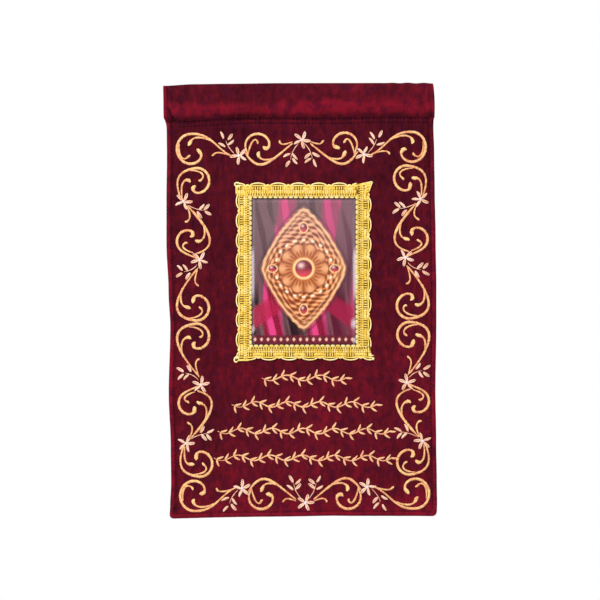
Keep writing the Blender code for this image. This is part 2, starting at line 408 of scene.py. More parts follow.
# Where the columns and rows lie close together, counted in from a hemmed edge
hemSteps = np.array((0, 0.35, 0.9, 1.6, 2.5, 3.3, 3.8, 4.2, 4.6, 5.2, 6.3, 7.8)) * mm
# The sleeve on its way across: x, sag of the top, bulge, sway
sleeveShape = (
    (-124.8 * mm, 2.9 * mm, 0.90, 0.2 * mm),
    (-96 * mm, 1.4 * mm, 0.95, -0.3 * mm),
    (-66 * mm, 1.0 * mm, 1.04, 0.1 * mm),
    (-15 * mm, 0.4 * mm, 0.97, 0.3 * mm),
    (48 * mm, 0.3 * mm, 1.05, -0.2 * mm),
    (96 * mm, 0.2 * mm, 0.98, 0.2 * mm),
    (126 * mm, 0.4 * mm, 0.91, 0.0),
)
# Creases of the sleeve: depth, length along it, turn from foot to top, start, hold at seam and top
creases = (
    (0.45 * mm, 88 * mm, 0.9 * math.tau, 0.0, 1),
    (0.28 * mm, 37 * mm, -0.6 * math.tau, 1.4, 1),
    (0.14 * mm, 9 * mm, 3.0, 0.0, 2),
)


def hemmedSteps(length, bothEnds):
    # Places from 0 to length, close together in the hem at one end or both.
    inner = length - hemSteps[-1] * (2 if bothEnds else 1)
    count = max(2, round(inner / cloth["cell"]))
    middle = hemSteps[-1] + inner * np.arange(1, count) / count
    last = hemSteps[::-1] if bothEnds else np.array((0.5 * cloth["cell"], 0))
    return np.concatenate((hemSteps, middle, length - last))


def hemFold(inward):
    # Push of the cloth towards the face at a distance in from a hemmed edge.
    puff = cloth["hemPuff"] * np.sin(math.pi * np.clip(inward / cloth["stitchIn"], 0, 1)) ** 0.7
    dip = cloth["stitchDeep"] * bell(inward - cloth["stitchIn"], 0.55 * mm)
    return puff - dip - cloth["edgeRound"] * np.exp(-inward / (0.5 * mm))


def clothRows():
    # The rows from the foot up, over the sleeve and down the flap: the drop and the turn of each,
    # and whether it lies on the sleeve and at the back.
    top, bottom = banner["seamDrop"], banner["bottomDrop"]
    panel = bottom - hemmedSteps(bottom - top, False)
    turns = np.linspace(math.pi, 0, cloth["sleeveRows"] + 1)[1:]
    flap = np.linspace(top, cloth["flapDrop"], 6)[1:]
    drops = np.concatenate((panel, np.zeros(2 * len(turns)), flap))
    ends = np.full(len(panel), math.pi), np.full(len(flap) + 1, math.pi)
    bent = np.concatenate((ends[0], turns, turns[::-1][1:], ends[1]))
    place = np.arange(len(drops)) - len(panel)
    return drops, bent, (place >= 0) & (place < 2 * len(turns)), place >= len(turns)


def shapePanel(share, level):
    # Places on the panel, how far in from its hemmed edges they lie, and the drop of the seam.
    top, bottom = banner["seamDrop"], banner["bottomDrop"]
    left, right = softTable(panelEdges, level)
    x = left + share * (right - left)
    seam = seamDrop(x)
    drop = seam + (level - top) * (bottomEdge(x) - seam) / (bottom - top)
    fromSide, fromFoot = np.minimum(x - left, right - x), bottomEdge(x) - drop
    inward = np.minimum(fromSide, fromFoot)

    # Round the two bottom corners
    radius = cloth["cornerRound"]
    reach = np.hypot(radius - np.minimum(fromSide, radius), radius - np.minimum(fromFoot, radius))
    inCorner = (fromSide < radius) & (fromFoot < radius)
    pull = np.where(inCorner, np.maximum(reach - radius, 0) / np.maximum(reach, 1e-9), 0)
    x = x + np.where(x < 0, 1, -1) * (radius - fromSide) * pull
    drop = drop - (radius - fromFoot) * pull

    # The edges ripple, and two lines of stitches hold the seam down with a soft roll between them
    ripple = 0.22 * mm * np.sin(math.tau * drop / (13 * mm) + 3 * np.sin(drop / (31 * mm)))
    ripple += 0.18 * mm * np.sin(math.tau * x / (11 * mm) + 2)
    ripple *= np.exp(-inward / (9 * mm))
    for line in cloth["seamLines"]:
        ripple += cloth["seamDeep"] * bell(drop - seam - line, 0.8 * mm)
    return x, faceY(x, drop) - hemFold(inward) + ripple, drop, inward, seam


def panelTone(x, drop, inward, seam):
    # Lighter under the frame, painted sheen near the foot and on the hems, painted shade beside the
    # stitches.
    tone = pile["panel"] + pile["underFrame"] * rise(drop, 215 * mm, 70 * mm)
    tone += pile["foot"] * rise(drop, 375 * mm, 20 * mm)
    tone += 0.05 * np.sin(x / (34 * mm) + 1) * np.sin(drop / (41 * mm))
    # Painted shade under the sleeve: the panel darkens towards the seam
    tone -= 0.05 * rise(drop, 70 * mm, -25 * mm)
    tone += pile["right"] * rise(x, 20 * mm, 90 * mm) * rise(drop, 90 * mm, 60 * mm)
    # Painted sheen on the hems with a painted shade beside them, both softer to the right and at the foot
    right, nearFoot = rise(x, 0, 60 * mm), rise(drop, bottomEdge(x) - 12 * mm, 6 * mm)
    bright = pile["hem"] * (1 - 0.30 * right) * (1 - 0.35 * nearFoot)
    tone += bright * rise(inward, 4.5 * mm, -1.4 * mm)
    shade = pile["hemShade"] * bell(inward - 5.3 * mm, 1.0 * mm)
    tone -= shade * (1 - 0.7 * right) * (1 - 0.8 * nearFoot)
    # The folded corner at the lower left is in shadow
    tone -= pile["cornerShade"] * bell(np.hypot(x + 113.5 * mm, drop - 395 * mm), 3.4 * mm)
    # Painted light softens the shade along the sleeve's seam, and painted shade darkens the two stitch
    # lines
    light = pile["seam"] + 0.03 * rise(x, 40 * mm, 60 * mm)
    tone += light * bell(drop - seam - 1.5 * mm, 4.2 * mm)
    for line in cloth["seamLines"]:
        stitchShade = 0.06 + 0.05 * np.sin(x / (9 * mm) + line / mm)
        tone -= stitchShade * bell(drop - seam - line, 0.8 * mm)
    return tone


def shapeSleeve(share, bent, back):
    # Places round the sleeve, a roll that runs softly into the seam, and the tone of its front.
    start, end = sleeveShape[0][0], sleeveShape[-1][0]
    x = start + share * (end - start)
    sag, bulge, sway = softTable(sleeveShape, x)
    height = (1 + np.cos(bent)) / 2
    free = np.sin(math.pi * height)
    drop = seamDrop(x) * (1 - height) + sag * height
    deep = cloth["sleeveDeep"] * np.abs(np.sin(bent)) ** (0.8 + 0.75 * rise(height, 0.55, -0.55))
    deep += cloth["seamHalf"] * (bent / math.pi) ** 4
    crease = sum(
        much * np.sin(math.tau * x / long + turn * height + first) * free ** hold
        for much, long, turn, first, hold in creases
    )
    # Turned-in ends: a fold line that swings inward towards the seam, deepest low down
    foldAt = 4.9 * mm + 3.7 * mm * rise(height, 0.35, -0.35)
    foldDeep = 0.4 * mm + 1.4 * mm * rise(height, 0.5, -0.5)
    endIn = np.minimum(x - start, end - x)
    fold = bell(x - start - foldAt, 1.0 * mm) + 0.4 * bell(end - x - 3.2 * mm, 1.0 * mm)
    deep = deep * (1 + (bulge - 1) * free) - crease * 0.6 - foldDeep * fold + 0.8 * hemFold(endIn)
    y = cloth["sleeveCentre"] + np.where(back, deep, -deep) + sway * free
    # The ends lean in at the top, and the left one at the seam
    x = x - np.where(x > 0, 1.4, -0.6) * mm * (x / end) ** 5 * height ** 3
    x = x + 1.5 * mm * rise(height, 0.12, -0.12) * rise(x, -100 * mm, -20 * mm)
    rimWave = 0.30 * mm * np.sin(math.tau * x / (15 * mm)) * rise(x, 70 * mm, 30 * mm)

    # Painted sheen: a bright band with soft streaks low on the roll, and light ends. Painted shade in the
    # dark fold and low at the seam
    streak = 0.5 + 0.5 * np.sin(x / (5.1 * mm) + 2.3 * np.sin(x / (17 * mm)))
    sheenTop = 0.50 + 0.10 * streak + 0.06 * np.sin(x / (29 * mm))
    band = rise(height, sheenTop, -0.22) * rise(height, 0.07, 0.13) * (1 - 0.2 * rise(x, 40 * mm, 60 * mm))
    tone = pile["sleeve"] + 0.13 * rise(x, -40 * mm, 150 * mm) + pile["sleeveSheen"] * band
    tone -= 0.10 * rise(height, 0.10, -0.10)
    tone += pile["sleeveEndSheen"] * rise(endIn, 4.6 * mm, -4.6 * mm)
    tone -= pile["foldShade"] * fold * rise(height, 0.45, -0.2)
    return x, y, drop + rimWave * height ** 2, tone


def buildCloth():
    width = panelEdges[2][2] - panelEdges[2][1]
    across = hemmedSteps(width, True) / width
    drops, turns, onSleeve, atBack = clothRows()
    mesh, column, row = gridMesh("velvetCloth", len(across) - 1, len(drops) - 1)
    share, level, sleeve, back = across[column], drops[row], onSleeve[row], atBack[row]
    flap = back & ~sleeve
    panelX, panelY, panelDrop, inward, seam = shapePanel(share, level)
    sleeveX, sleeveY, sleeveDrop, sleeveTone = shapeSleeve(share, turns[row], back)

    # The seam allowance at the back goes on downward and narrows with the panel's edges
    below = level - banner["seamDrop"]
    narrower = 1 - cloth["flapNarrows"] * rise(below, 0, cloth["flapDrop"] - banner["seamDrop"])
    flapY = cloth["sleeveCentre"] + cloth["seamHalf"]
    x = np.select((sleeve, flap), (sleeveX, sleeveX * narrower), panelX)
    y = np.select((sleeve, flap), (sleeveY, flapY), panelY)
    drop = np.select((sleeve, flap), (sleeveDrop, sleeveDrop + cloth["flapHangs"] * below), panelDrop)
    setPlaces(mesh, x, y, drop)
    tones = pile["back"], sleeveTone, pile["flap"]
    front = panelTone(panelX, panelDrop, inward, seam)
    setAttribute(mesh, "tone", np.select((sleeve & back, sleeve, flap), tones, front))

    item = addPiece("velvetCloth", mesh, velvet, ("panel", "sleeve"))
    inHem = ~(sleeve | flap) & (inward < cloth["hemWide"]) & (drop > cloth["hemTop"])
    hem = item.vertex_groups.new(name="hem")
    hem.add(np.flatnonzero(inHem).tolist(), 1.0, "REPLACE")
    thinner = cloth["single"] / cloth["hem"]
    thicken(item, cloth["hem"], -1, vertex_group="hem", thickness_vertex_group=thinner)
    return item


velvetCloth = buildCloth()
print("cloth made:", len(velvetCloth.data.polygons), "faces")


# Strands: thread, cord and satin stitch are closed tubes laid along a path on the cloth
def resample(points, step):
    points = np.asarray(points, float)
    travelled = np.concatenate(([0], np.cumsum(np.linalg.norm(np.diff(points, axis=0), axis=1))))
    count = max(3, round(travelled[-1] / step))
    stops = np.linspace(0, travelled[-1], count + 1)
    return np.column_stack([np.interp(stops, travelled, column) for column in points.T]), stops


def addStrand(bm, places, halfWide, halfHigh, stops, tone, sides=8, slant=0.0, ridge=0.0):
    # places are (x, y, drop) rows. The section is an ellipse, halfWide across the cloth.
    count = len(places)
    ahead = np.gradient(places, axis=0)
    ahead /= np.linalg.norm(ahead, axis=1)[:, None] + 1e-12
    outward = np.array((0.0, -1.0, 0.0))
    left = np.cross(outward, ahead)
    left /= np.linalg.norm(left, axis=1)[:, None] + 1e-12
    halfHigh = halfHigh * (1 - ridge * (np.arange(count) % 2))
    tones = np.broadcast_to(tone, count)
    made = bmesh.ops.create_grid(bm, x_segments=sides, y_segments=count - 1, size=0.5)["verts"]
    alongLayer = bm.verts.layers.float["along"]
    toneLayer = bm.verts.layers.float["tone"]
    for k in range(sides + 1):
        angle = math.tau * k / sides
        sideways = math.cos(angle) * halfWide
        spots = places + left * sideways[:, None] + outward * (math.sin(angle) * halfHigh)[:, None]
        spots = spots + ahead * (sideways * slant)[:, None]
        for i, (x, y, drop) in enumerate(spots):
            vert = made[i * (sides + 1) + k]
            vert.co = (x, y, -drop)
            vert[alongLayer] = stops[i]
            vert[toneLayer] = tones[i]
    bmesh.ops.remove_doubles(bm, verts=made, dist=1e-6)


def newStrands():
    bm = bmesh.new()
    bm.verts.layers.float.new("along")
    bm.verts.layers.float.new("tone")
    return bm


def finishStrands(bm, name, material, replaced=()):
    bmesh.ops.recalc_face_normals(bm, faces=bm.faces)
    item = addPiece(name, meshFrom(bm, name), material, replaced)
    print(name, "made:", len(item.data.polygons), "faces")
    return item


# Embroidered border. Places are in mm on the banner's face, headings in degrees, 0 right and 90 down.
border = {
    "axisX": 4.3,
    "axisDrop": 221.1,
    "lean": 0.0103,  # turn of the whole pattern, its right side up
    "threadStep": 0.42 * mm,
    "strokeHigh": 0.70 * mm,
    "bulb": 1.94,
    "unroll": 20.0,  # how soon a curl leaves its bulb
    "slant": 0.55,
    "ridge": 0.20,
    "handwork": 0.3,  # how far each repeat strays, in mm
}
# Curls: centre x, centre drop, radius across, radius down, share of it at the bulb, start angle,
# sweep, then the tail: end x, end drop, heading, pull at the curl, pull at the end, half width
curls = (
    (-99.7, 61.5, 12.8, 13.8, 0.42, 10, 257, -60.0, 68.8, 20, 20, 17, 1.23),
    (-37.7, 58.6, 11.3, 10.9, 0.46, 24, -228, -46.0, 68.5, 50, 2, 2, 1.23),
    (-93.9, 90.8, 11.3, 11.6, 0.42, 122, -222, -108.0, 109.5, 68, 19.5, 16.5, 1.23),
    (-102.5, 147.3, 9.8, 10.4, 0.50, -46, -188, -93.3, 163.4, 30, 6, 7, 1.23),
    (-94.5, 208.9, 11.6, 11.7, 0.45, -116, 216, -93.5, 172.5, -50, 22, 38, 1.26),
)
# Sweeps: start x, start drop, heading, end x, end drop, heading, pull at the start, pull at the end,
# half width, half width of the bulb at the end (0 for none)
sweeps = (
    (-81.5, 54.2, 206, -101.0, 58.8, 92, 11, 9, 0.95, 1.77),
    (-110.2, 56.7, 96, -100.4, 67.2, -58, 14, 8.6, 0.88, 1.14),
    (-46.8, 67.5, -80, -37.3, 57.0, 75, 14, 8, 0.92, 1.14),
    (-50.0, 64.5, 55, -5.5, 56.3, -40, 24, 32, 1.19, 0),
    (-19.0, 68.4, 152, -37.2, 64.0, -88, 9, 10, 0.95, 1.77),
    (-107.4, 107.4, -98, -99.3, 91.6, 24, 12.5, 8.5, 0.95, 1.74),
    (-100.2, 81.4, 0, -92.2, 91.5, 152, 13, 8, 0.90, 1.14),
    (-103.0, 114.0, 46, -95.2, 158.6, 165, 27, 25, 1.21, 0),
    (-89.5, 128.5, 66, -95.6, 147.1, 184, 12, 9.5, 0.92, 1.69),
    (-97.0, 157.8, 195, -102.4, 148.0, -15, 12, 7, 0.90, 1.14),
    (-107.3, 189.8, 105, -99.6, 208.0, -8, 13, 8.5, 0.95, 1.74),
    (-101.5, 218.0, 0, -92.3, 208.0, 195, 12, 7, 0.90, 1.14),
)
# Thin hooks with a small flared tip, in the same columns
hooks = (
    (-62.5, 67.6, 198, -79.4, 68.4, 110, 9, 5.5, 0.78, 1.06),
    (-5.5, 54.8, 160, -18.0, 53.6, -112, 8, 5.5, 0.78, 1.03),
    (-103.7, 114.0, 62, -105.3, 129.3, 165, 8, 7, 0.82, 1.06),
    (-92.8, 171.0, 108, -91.9, 188.5, 22, 11, 6, 0.78, 0.99),
)
# Flowers: x, drop, then the headings of the petals
flowers = (
    (-55.0, 67.8, (-108, -43, 27, 92, 171)),
    (-106.5, 110.2, (-66, 2, 66, 155, -136)),
    (-91.7, 164.4, (-58, 15, 80, 162, -133)),
)
middleFlower = (2.9, 53.2, (-140, -64, 6, 72, 150))
# Sprigs: stem from x, drop through a middle to its tip, then leaves as x, drop, heading
sprigs = (
    ((-58.9, 66.4), (-65.6, 60.2), (-67.2, 53.7),
     ((-70.8, 48.9, -122), (-63.3, 50.4, -52), (-62.5, 55.6, -48), (-71.0, 58.0, 207))),
    ((-102.4, 113.6), (-96.0, 118.0), (-86.8, 118.7),
     ((-89.6, 115.4, -48), (-85.0, 115.4, -47), (-91.4, 122.7, 58), (-83.6, 120.9, 29))),
    ((-93.6, 168.3), (-96.8, 174.2), (-105.8, 175.4),
     ((-109.8, 172.0, 224), (-104.8, 171.7, 228), (-110.2, 178.5, 148), (-102.1, 179.5, 121))),
    ((0.4, 56.0), (-6.6, 62.4), (-7.4, 71.5),
     ((-10.9, 67.3, 150), (-3.3, 68.4, 42), (-3.3, 72.8, 42), (-9.8, 75.2, 118))),
)
petal = {
    "long": 7.6,
    "half": 1.36,
    "start": 0.8,
    "leafLong": 7.6,
    "leafHalf": 1.28,
    "high": 0.62 * mm,
    "vein": 0.56,
    "turns": 4,  # how far each petal and leaf strays, in degrees
    "heartLong": 3.2,
    "heartHalf": 0.7,
    "stemHalf": 0.38,
    "stemHigh": 0.40 * mm,
    "stemStep": 0.6 * mm,
}


def bezier(start, startHeading, end, endHeading, pullStart, pullEnd, count=40):
    a, b = math.radians(startHeading), math.radians(endHeading)
    p0, p3 = np.array(start, float), np.array(end, float)
    p1 = p0 + pullStart * np.array((math.cos(a), math.sin(a)))
    p2 = p3 - pullEnd * np.array((math.cos(b), math.sin(b)))
    t = np.linspace(0, 1, count)[:, None]
    return (1 - t) ** 3 * p0 + 3 * t * (1 - t) ** 2 * p1 + 3 * t * t * (1 - t) * p2 + t ** 3 * p3


def curlPath(row):
    # A spiral that opens from its bulb, then a tail that leaves it and runs on.
    cx, cd, across, down, inner, start, sweep, ex, ed, heading, pullCurl, pullEnd, _ = row
    t = np.linspace(0, 1, 90) ** 1.4
    size = inner + (1 - inner) * (1 - np.exp(-border["unroll"] * t))
    angle = np.radians(start + sweep * t)
    spiral = np.column_stack((cx + across * size * np.cos(angle), cd + down * size * np.sin(angle)))
    leaving = spiral[-1] - spiral[-2]
    onward = math.degrees(math.atan2(leaving[1], leaving[0]))
    tail = bezier(spiral[-1], onward, (ex, ed), heading, pullCurl, pullEnd)
    return np.vstack((spiral, tail[1:]))


def roundEnd(reach, length):
    # 0 at an end and 1 from length on, in the shape of a quarter circle.
    return np.sqrt(np.clip(1 - np.clip(1 - reach / length, 0, 1) ** 2, 0, 1))


def strokeHalfWidth(stops, half, bulb, tailShare):
    # Bulb at the start of the path that runs out into the body, and a tail that thins out.
    total = stops[-1]
    body = half * (1 - tailShare * rise(stops / total, 0.45, 0.5))
    tip = roundEnd(total - stops, half * 0.8)
    if bulb > 0:
        swell = (bulb - half * 0.8) * rise(stops, 4.6 * bulb, -3.4 * bulb)
        neck = half * (0.8 + 0.2 * rise(stops, 3 * bulb, 6 * bulb))
        return (np.minimum(body, neck) + swell) * roundEnd(stops, bulb) * tip
    thin = 0.45 + 0.55 * rise(stops, 0, 0.22 * total)
    return body * thin * roundEnd(stops, half * 0.5) * tip


def layOnCloth(points, lift):
    # Points in mm on the face become places in metres on the velvet.
    x, drop = points[:, 0] * mm, points[:, 1] * mm
    return np.column_stack((x, faceY(x, drop) - lift, drop))


unevenChance = np.random.default_rng(3)


def uneven(count, run):
    # Random steps, each held for a few threads.
    return np.repeat(unevenChance.normal(0, 1, count // run + 1), run)[:count]


def satinStroke(bm, points, half, bulb, tone, high=border["strokeHigh"], step=border["threadStep"],
                tailShare=0.35):
    spots, stops = resample(points, step / mm)
    wide = strokeHalfWidth(stops, half, bulb, tailShare)
    wide = wide * (1 + 0.07 * uneven(len(stops), 2))
    raised = high * np.clip(wide / half, 0, 1.25) ** 0.6
    places = layOnCloth(spots, 0.10 * mm)
    tones = tone + 0.30 * (wide / half - 0.8) + 0.13 * uneven(len(stops), 4)
    addStrand(bm, places, wide * mm, raised, stops * mm, tones, 8, border["slant"], border["ridge"])


def satinLeaf(bm, x, drop, heading, length, half, tone, split=True):
    # An almond of satin stitch with its middle at x, drop. Two halves meet in a sunk vein.
    a = math.radians(heading)
    reach = np.linspace(-0.5, 0.5, 21) * length
    arc = 1 - (2 * reach / length) ** 2
    for side in (-1, 1) if split else (0,):
        aside = 0.04 * length * arc + side * half * petal["vein"] * arc ** 0.5
        across = x + reach * math.cos(a) - aside * math.sin(a)
        down = drop + reach * math.sin(a) + aside * math.cos(a)
        spots, stops = resample(np.column_stack((across, down)), border["threadStep"] / mm)
        share = np.clip(stops / stops[-1], 0, 1)
        wide = half * (0.52 if side else 1.0) * np.sin(math.pi * share ** 0.85) ** 0.6
        raised = petal["high"] * (wide / half) ** 0.6
        places = layOnCloth(spots, 0.12 * mm)
        slant = 0.8 * (side or 1)
        # The two halves differ a little in tone, a painted sheen for stitches that slant different ways
        addStrand(bm, places, wide * mm, raised, stops * mm, tone + 0.05 * side, 8, slant, border["ridge"])


def leant(points, amount):
    # Places turned about the middle of the pattern.
    across = points[:, 0] - border["axisX"]
    down = points[:, 1] - border["axisDrop"]
    turned = across * math.cos(amount) + down * math.sin(amount)
    lowered = down * math.cos(amount) - across * math.sin(amount)
    return np.column_stack((turned + border["axisX"], lowered + border["axisDrop"]))


def quarterPlaces(points, flipX, flipDrop):
    # The upper left quarter is set straight, mirrored and leant again.
    points = leant(np.array(points, float), -border["lean"])
    if flipX:
        points[:, 0] = 2 * border["axisX"] - points[:, 0]
    if flipDrop:
        points[:, 1] = 2 * border["axisDrop"] - points[:, 1]
    return leant(points, border["lean"])


def quarterHeading(heading, flipX, flipDrop):
    if flipX:
        heading = 180 - heading
    return -heading if flipDrop else heading


def strayed(rng, much):
    # How far handwork puts a stitch aside.
    return rng.normal(0, border["handwork"], 2) * much


def addFlower(pale, lilac, rng, spot, headings):
    for heading in headings:
        a = math.radians(heading)
        middle = petal["start"] + petal["long"] / 2
        x, drop = spot[0] + middle * math.cos(a), spot[1] + middle * math.sin(a)
        long = petal["long"] * rng.uniform(0.92, 1.06)
        split = rng.random() < 0.5
        turned = heading + rng.normal(0, petal["turns"])
        satinLeaf(pale, x, drop, turned, long, petal["half"], 0.2 + 0.2 * rng.random(), split)
    for heading in (20, 80, 140):
        turned = heading + rng.normal(0, 6)
        satinLeaf(lilac, *spot, turned, petal["heartLong"], petal["heartHalf"], 0.3, False)


def addSprig(pale, stems, rng, sprig, flipX, flipDrop):
    first, middle, tip, leaves = sprig
    stray = strayed(rng, 0.4)
    lead = math.degrees(math.atan2(middle[1] - first[1], middle[0] - first[0]))
    out = math.degrees(math.atan2(tip[1] - middle[1], tip[0] - middle[0]))
    reach = math.dist(first, tip) / 3
    path = quarterPlaces(bezier(first, lead, tip, out, reach, reach), flipX, flipDrop) + stray
    satinStroke(stems, path, petal["stemHalf"], 0, 0.12, petal["stemHigh"], petal["stemStep"])
    for x, drop, heading in leaves:
        spot = quarterPlaces(((x, drop),), flipX, flipDrop)[0] + stray
        turned = quarterHeading(heading, flipX, flipDrop) + rng.normal(0, petal["turns"])
        long = petal["leafLong"] * rng.uniform(0.92, 1.06)
        split = rng.random() < 0.6
        satinLeaf(pale, *spot, turned, long, petal["leafHalf"], 0.15 + 0.2 * rng.random(), split)


def buildBorder():
    rng = np.random.default_rng(7)
    gold, pale, lilac, stems = newStrands(), newStrands(), newStrands(), newStrands()
    for flipX, flipDrop in ((False, False), (False, True), (True, False), (True, True)):
        for row in curls:
            path = quarterPlaces(curlPath(row), flipX, flipDrop) + strayed(rng, 0.5)
            satinStroke(gold, path, row[-1], border["bulb"], 0.20 + 0.1 * rng.random())
        for row in sweeps + hooks:
            path = bezier(row[0:2], row[2], row[3:5], row[5], row[6], row[7])
            path = quarterPlaces(path, flipX, flipDrop) + strayed(rng, 0.4)
            path = path[::-1] if row[9] else path
            satinStroke(gold, path, row[8], row[9], 0.20 + 0.12 * rng.random())
        for x, drop, headings in flowers:
            spot = quarterPlaces(((x, drop),), flipX, flipDrop)[0] + strayed(rng, 0.5)
            addFlower(pale, lilac, rng, spot, [quarterHeading(h, flipX, flipDrop) for h in headings])
        for sprig in sprigs:
            addSprig(pale, stems, rng, sprig, flipX, flipDrop)
    for flipDrop in (False, True):
        spot = quarterPlaces((middleFlower[:2],), False, flipDrop)[0]
        addFlower(pale, lilac, rng, spot, [quarterHeading(h, False, flipDrop) for h in middleFlower[2]])
    return [
        finishStrands(gold, "goldScrolls", thread["goldThread"]),
        finishStrands(pale, "paleLeaves", thread["paleThread"]),
        finishStrands(lilac, "flowerHearts", thread["lilacThread"]),
        finishStrands(stems, "sprigStems", thread["paleThread"]),
    ]


embroidery = buildBorder()


# Rows of leafy vine under the frame
vine = {
    "wave": 2.5,
    "stemHalf": 0.72,
    "leafLong": 6.8,
    "leafHalf": 1.0,
    "leafPitch": 8.0,
    "leafLean": 44,
    "rows": (  # middle drop, left, right, number of half waves
        (273.6, -34.0, 44.0, 5),
        (298.2, -62.0, 72.0, 9),
        (322.8, -75.0, 84.3, 11),
        (347.6, -78.5, 86.2, 11),
    ),
}


def buildVineRows():
    rng = np.random.default_rng(11)
    bm = newStrands()
    for middle, left, right, count in vine["rows"]:
        unit = (right - left) / count
        x = np.linspace(left, right, 40 * count)
        stem = np.column_stack((x, middle + vine["wave"] * np.sin(math.pi * (x - left) / unit)))
        satinStroke(bm, stem, vine["stemHalf"], 0, 0.20, tailShare=0.2)
        pairs = round((right - left) / vine["leafPitch"])
        for k in range(pairs):
            foot = left + (k + 0.3) * (right - left) / pairs
            turn = math.pi * (foot - left) / unit
            drop = middle + vine["wave"] * math.sin(turn)
            slope = math.degrees(math.atan2(vine["wave"] * math.pi / unit * math.cos(turn), 1))
            for hand in (-1, 1):
                heading = slope + hand * vine["leafLean"] + rng.normal(0, 3)
                reach = vine["leafLong"] / 2 + 0.5
                leafX = foot + reach * math.cos(math.radians(heading))
                leafDrop = drop + reach * math.sin(math.radians(heading))
                tone = 0.26 + 0.16 * rng.random()
                satinLeaf(bm, leafX, leafDrop, heading, vine["leafLong"], vine["leafHalf"], tone, False)
        satinLeaf(bm, right + 2.6, middle, 0, vine["leafLong"], vine["leafHalf"], 0.3, False)
    return finishStrands(bm, "vineRows", thread["vineThread"])


vineRows = buildVineRows()


# Top stitches along the hems, the foot and the sleeve's seam, in mm but for the lifts
topStitch = {
    "pitch": 3.5,
    "long": 2.0,
    "half": 0.55,
    "bow": (-0.22, 0.05, 0.12, 0.05, -0.22),  # rise of a stitch from end to end
    "swell": (0.0, 0.9, 1.0, 0.9, 0.0),
    "hemLift": -0.36 * mm,
    "footLift": -0.44 * mm,
    "seamLift": 0.25 * mm,
}


def stitchLine(bm, points, rng, lift):
    spots, _ = resample(points, topStitch["pitch"])
    parts = np.linspace(-0.5, 0.5, 5)[:, None]
    for spot, after in zip(spots[:-1], spots[1:]):
        ahead = (after - spot) / math.dist(after, spot)
        middle = (spot + after) / 2 + rng.normal(0, 0.06, 2)
        x, drop = ((middle + parts * topStitch["long"] * ahead) * mm).T
        bow = np.array(topStitch["bow"]) * mm
        places = np.column_stack((x, faceY(x, drop) - lift - bow, drop))
        half = topStitch["half"] * mm * np.array(topStitch["swell"])
        addStrand(bm, places, half, half * 0.8, np.arange(5) * 0.4 * mm, 0.2 + 0.2 * rng.random(), 6)


def buildTopStitches():
    rng = np.random.default_rng(5)
    bm = newStrands()
    inward = cloth["stitchIn"] / mm
    drops = np.linspace(44, banner["bottomDrop"] / mm - inward, 90)
    left, right = softTable(panelEdges, drops * mm)
    for line in (left / mm + inward, right / mm - inward):
        stitchLine(bm, np.column_stack((line, drops)), rng, topStitch["hemLift"])
    hems = finishStrands(bm, "hemStitches", thread["hemThread"])
    # The stitches along the foot are as faint as the seam's
    bm = newStrands()
    x = np.linspace(-118.8 + inward, 127.9 - inward, 60)
    foot = np.column_stack((x, bottomEdge(x * mm) / mm - inward))
    stitchLine(bm, foot, rng, topStitch["footLift"])
    x = np.linspace(-112, 120, 60)
    for line in cloth["seamLines"]:
        drops = (seamDrop(x * mm) + line) / mm + 0.3 * np.sin(x / 17)
        stitchLine(bm, np.column_stack((x, drops)), rng, topStitch["seamLift"])
    return [hems, finishStrands(bm, "seamStitches", thread["seamThread"])]


topStitches = buildTopStitches()


# Gimp braid: cords in a repeat of one scallop, laid along four strips. Sizes in mm, but heights in metres.
gimp = {
    "baseHigh": 0.55 * mm,
    "overCard": 2.2 * mm,
    "onPanel": 0.3 * mm,
    "cordStep": 0.9,
    "cordFlat": 0.8,
    "picot": 0.62,
    "innerCord": 0.62,
    "spoke": 0.64,
    "closeSpoke": 0.92,
    "spokesAway": (0.0, 2.15, 4.35, 5.9, 7.5, 9.0),  # from the scallop's middle
    "openTo": 5.0,  # the spokes lie close past this
    "plait": 0.90,
    "plaitLumps": 9,
    "bridge": 0.64,
    "tooth": 0.62,
    "toothFill": 0.70,
    "knot": 0.80,
    "loop": 0.68,
    "foldCord": 0.70,
    "foldEdge": 0.52,
    "frayThreads": 15,
}
# Strips: name, runs down, start, end, window edge, side, repeat, first valley past the start,
# first and last tooth past the start, node
strips = (
    ("gimpTop", False, -58.2, 54.8, 107.4, -1, 18.85, 11.1, 10.5, 114.5, "braid_top"),
    ("gimpRight", True, 94.0, 245.6, 52.8, 1, 18.4, 10.2, 10.0, 151.0, "braid_right"),
    ("gimpBottom", False, -48.8, 66.8, 242.6, 1, 18.9, 12.0, 3.3, 105.9, "braid_bottom"),
    ("gimpLeft", True, 99.5, 257.7, -43.2, -1, 18.35, 1.1, 5.0, 146.0, "braid_left"),
)
# Loops at the mitred corners: middle x, middle drop, half length, half height, turn
cornerLoops = {
    "gimpTop": (-56.4, 94.6, 2.6, 1.8, 12),
    "gimpLeft": (-57.6, 256.4, 1.7, 2.5, 18),
}
# The mitre at the top right stands out in a short point. Cords from x, drop to x, drop
mitreCords = (
    (50.0, 95.6, 68.3, 92.0),
    (51.0, 96.5, 67.9, 93.0),
    (61.0, 95.4, 67.5, 94.0),
    (61.0, 96.7, 67.1, 95.3),
    (61.5, 98.0, 66.7, 96.6),
    (61.5, 99.3, 66.3, 97.8),
    (62.0, 100.6, 65.6, 99.3),
    (62.0, 101.9, 65.0, 100.9),
)
# Light cords along the two outer edges of the point
mitreEdges = (
    (57.5, 94.0, 68.6, 91.7),
    (68.5, 91.8, 65.0, 101.6),
)


def braidLift(x, drop):
    # Height of the braid's back over the velvet, up on the card and down beside it.
    share = rise(beyondWindow(x, drop, 3.0 * mm), 0.5 * mm, 2.6 * mm)
    return gimp["overCard"] * (1 - share) + gimp["onPanel"] * share


